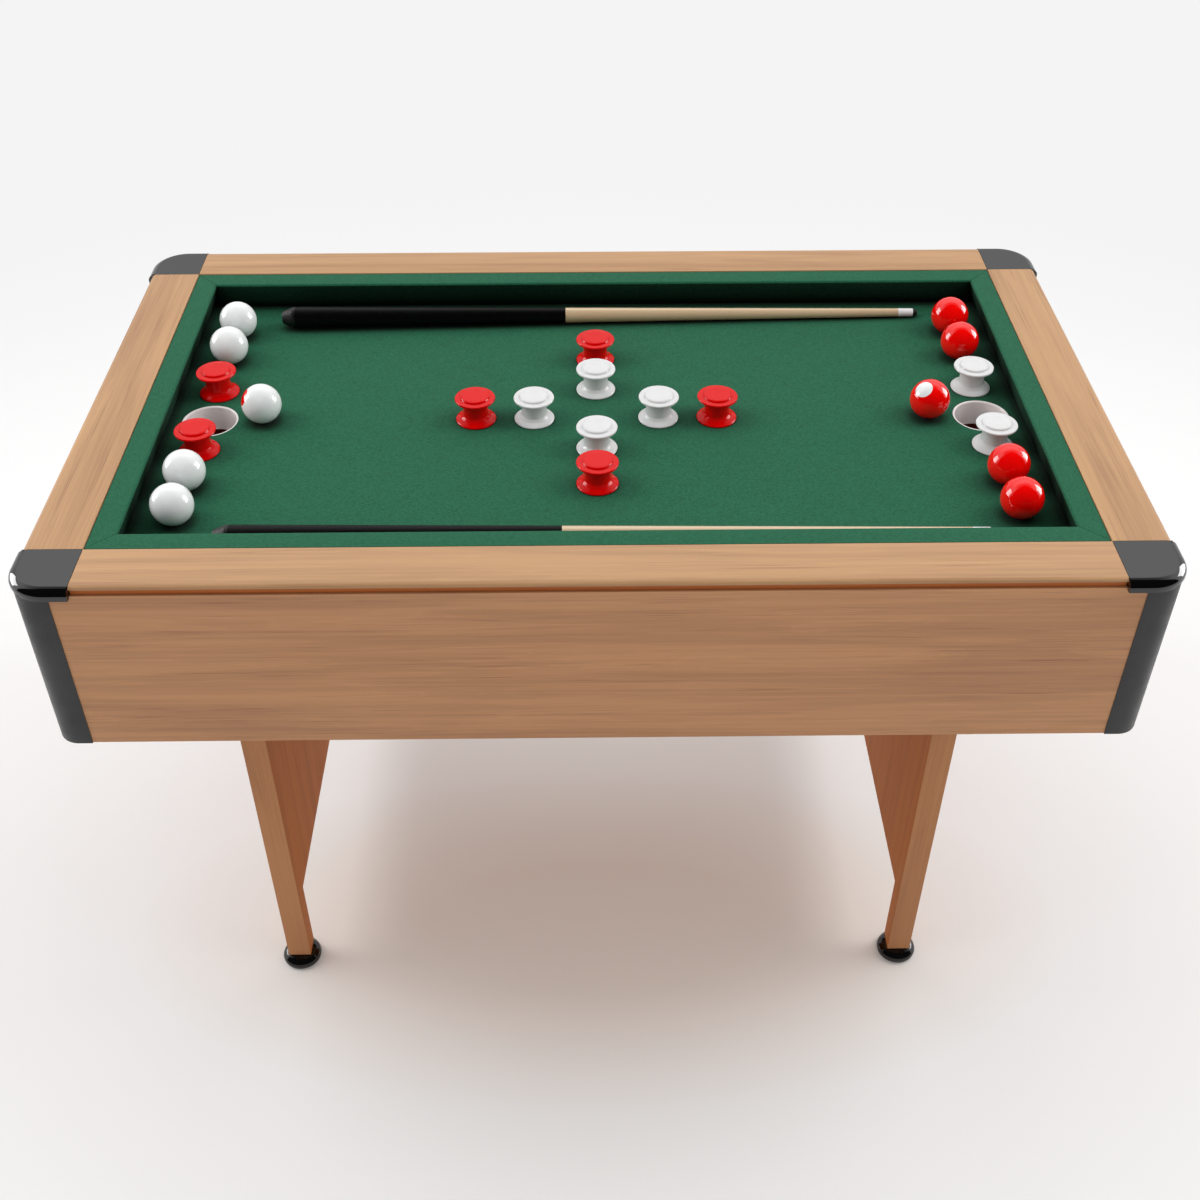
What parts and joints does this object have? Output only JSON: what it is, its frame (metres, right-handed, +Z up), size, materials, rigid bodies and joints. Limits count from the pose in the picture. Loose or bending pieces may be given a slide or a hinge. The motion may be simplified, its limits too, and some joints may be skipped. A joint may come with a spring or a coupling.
{
  "type": "bumper pool table",
  "caption": "Bumper pool table: cloth bed with two end pockets, spool bumpers, cushions, wood rails with black corner caps, board end legs on levellers, balls and cues.",
  "frame": {"origin": "on the floor under the middle of the table", "axes": "+X along the table's length (to the pocket with white bumpers), +Y across it, away from the player who sees the white balls on the left, +Z up"},
  "size_m": [1.3676, 0.8396, 0.8165],
  "materials": {
    "rail_wood": "satin laminate, light beech, grain along the rail",
    "apron_wood": "satin laminate, beech, grain along the apron",
    "leg_wood": "satin laminate, beech, grain upright",
    "board": "raw fibreboard",
    "bed_cloth": "green baize",
    "cushion_cloth": "green baize over rubber",
    "cap_plastic": "glossy black",
    "trim_plastic": "satin dark grey",
    "foot_plastic": "glossy black",
    "white_plastic": "glossy white",
    "red_plastic": "glossy red",
    "white_ball": "polished white",
    "red_ball": "polished red",
    "cue_butt": "satin black lacquer",
    "cue_shaft": "pale varnished wood, white ferrule, black tip"
  },
  "bodies": {
    "root": {"apron_back": "apron_wood", "apron_front": "apron_wood", "apron_left": "apron_wood", "apron_right": "apron_wood", "ball_tray_left": "board", "ball_tray_right": "board", "bed_beam_left": "board", "bed_beam_right": "board", "bed_board": "board", "bed_cloth": "bed_cloth", "bumper_cross_red_back": "red_plastic", "bumper_cross_red_front": "red_plastic", "bumper_cross_red_left": "red_plastic", "bumper_cross_red_right": "red_plastic", "bumper_cross_white_back": "white_plastic", "bumper_cross_white_front": "white_plastic", "bumper_cross_white_left": "white_plastic", "bumper_cross_white_right": "white_plastic", "bumper_pocket_red_back": "red_plastic", "bumper_pocket_red_front": "red_plastic", "bumper_pocket_white_back": "white_plastic", "bumper_pocket_white_front": "white_plastic", "corner_cap_back_left": "cap_plastic", "corner_cap_back_right": "cap_plastic", "corner_cap_front_left": "cap_plastic", "corner_cap_front_right": "cap_plastic", "corner_trim_back_left": "trim_plastic", "corner_trim_back_right": "trim_plastic", "corner_trim_front_left": "trim_plastic", "corner_trim_front_right": "trim_plastic", "cushion_back": "cushion_cloth", "cushion_front": "cushion_cloth", "cushion_left": "cushion_cloth", "cushion_right": "cushion_cloth", "leg_frame_left": "leg_wood", "leg_frame_right": "leg_wood", "pocket_liner_left": "white_plastic", "pocket_liner_right": "white_plastic", "rail_back": "rail_wood", "rail_front": "rail_wood", "rail_left": "rail_wood", "rail_right": "rail_wood"},
    "ball_red_1": {"ball_red_1": "red_ball"},
    "ball_red_2": {"ball_red_2": "red_ball"},
    "ball_red_3": {"ball_red_3": "red_ball"},
    "ball_red_4": {"ball_red_4": "red_ball"},
    "ball_red_5": {"ball_red_5": "red_ball"},
    "ball_white_1": {"ball_white_1": "white_ball"},
    "ball_white_2": {"ball_white_2": "white_ball"},
    "ball_white_3": {"ball_white_3": "white_ball"},
    "ball_white_4": {"ball_white_4": "white_ball"},
    "ball_white_5": {"ball_white_5": "white_ball"},
    "cue_back": {"cue_back_butt": "cue_butt", "cue_back_shaft": "cue_shaft"},
    "cue_front": {"cue_front_butt": "cue_butt", "cue_front_shaft": "cue_shaft"},
    "leveller_back_left": {"leveller_back_left": "foot_plastic"},
    "leveller_back_right": {"leveller_back_right": "foot_plastic"},
    "leveller_front_left": {"leveller_front_left": "foot_plastic"},
    "leveller_front_right": {"leveller_front_right": "foot_plastic"}
  },
  "joints": [
    {"name": "ball_red_1_lift", "type": "slide", "parent": "root", "child": "ball_red_1", "axis": [0, 0, 1], "range_m": [0, 0.25]},
    {"name": "ball_red_2_lift", "type": "slide", "parent": "root", "child": "ball_red_2", "axis": [0, 0, 1], "range_m": [0, 0.25]},
    {"name": "ball_red_3_lift", "type": "slide", "parent": "root", "child": "ball_red_3", "axis": [0, 0, 1], "range_m": [0, 0.25]},
    {"name": "ball_red_4_lift", "type": "slide", "parent": "root", "child": "ball_red_4", "axis": [0, 0, 1], "range_m": [0, 0.25]},
    {"name": "ball_red_5_lift", "type": "slide", "parent": "root", "child": "ball_red_5", "axis": [0, 0, 1], "range_m": [0, 0.25]},
    {"name": "ball_white_1_lift", "type": "slide", "parent": "root", "child": "ball_white_1", "axis": [0, 0, 1], "range_m": [0, 0.25]},
    {"name": "ball_white_2_lift", "type": "slide", "parent": "root", "child": "ball_white_2", "axis": [0, 0, 1], "range_m": [0, 0.25]},
    {"name": "ball_white_3_lift", "type": "slide", "parent": "root", "child": "ball_white_3", "axis": [0, 0, 1], "range_m": [0, 0.25]},
    {"name": "ball_white_4_lift", "type": "slide", "parent": "root", "child": "ball_white_4", "axis": [0, 0, 1], "range_m": [0, 0.25]},
    {"name": "ball_white_5_lift", "type": "slide", "parent": "root", "child": "ball_white_5", "axis": [0, 0, 1], "range_m": [0, 0.25]},
    {"name": "cue_back_lift", "type": "slide", "parent": "root", "child": "cue_back", "axis": [0, 0, 1], "range_m": [0, 0.25]},
    {"name": "cue_front_lift", "type": "slide", "parent": "root", "child": "cue_front", "axis": [0, 0, 1], "range_m": [0, 0.25]},
    {"name": "leveller_back_left_screw", "type": "slide", "parent": "root", "child": "leveller_back_left", "axis": [0, 0, -1], "range_m": [0, 0.015]},
    {"name": "leveller_back_right_screw", "type": "slide", "parent": "root", "child": "leveller_back_right", "axis": [0, 0, -1], "range_m": [0, 0.015]},
    {"name": "leveller_front_left_screw", "type": "slide", "parent": "root", "child": "leveller_front_left", "axis": [0, 0, -1], "range_m": [0, 0.015]},
    {"name": "leveller_front_right_screw", "type": "slide", "parent": "root", "child": "leveller_front_right", "axis": [0, 0, -1], "range_m": [0, 0.015]}
  ]
}
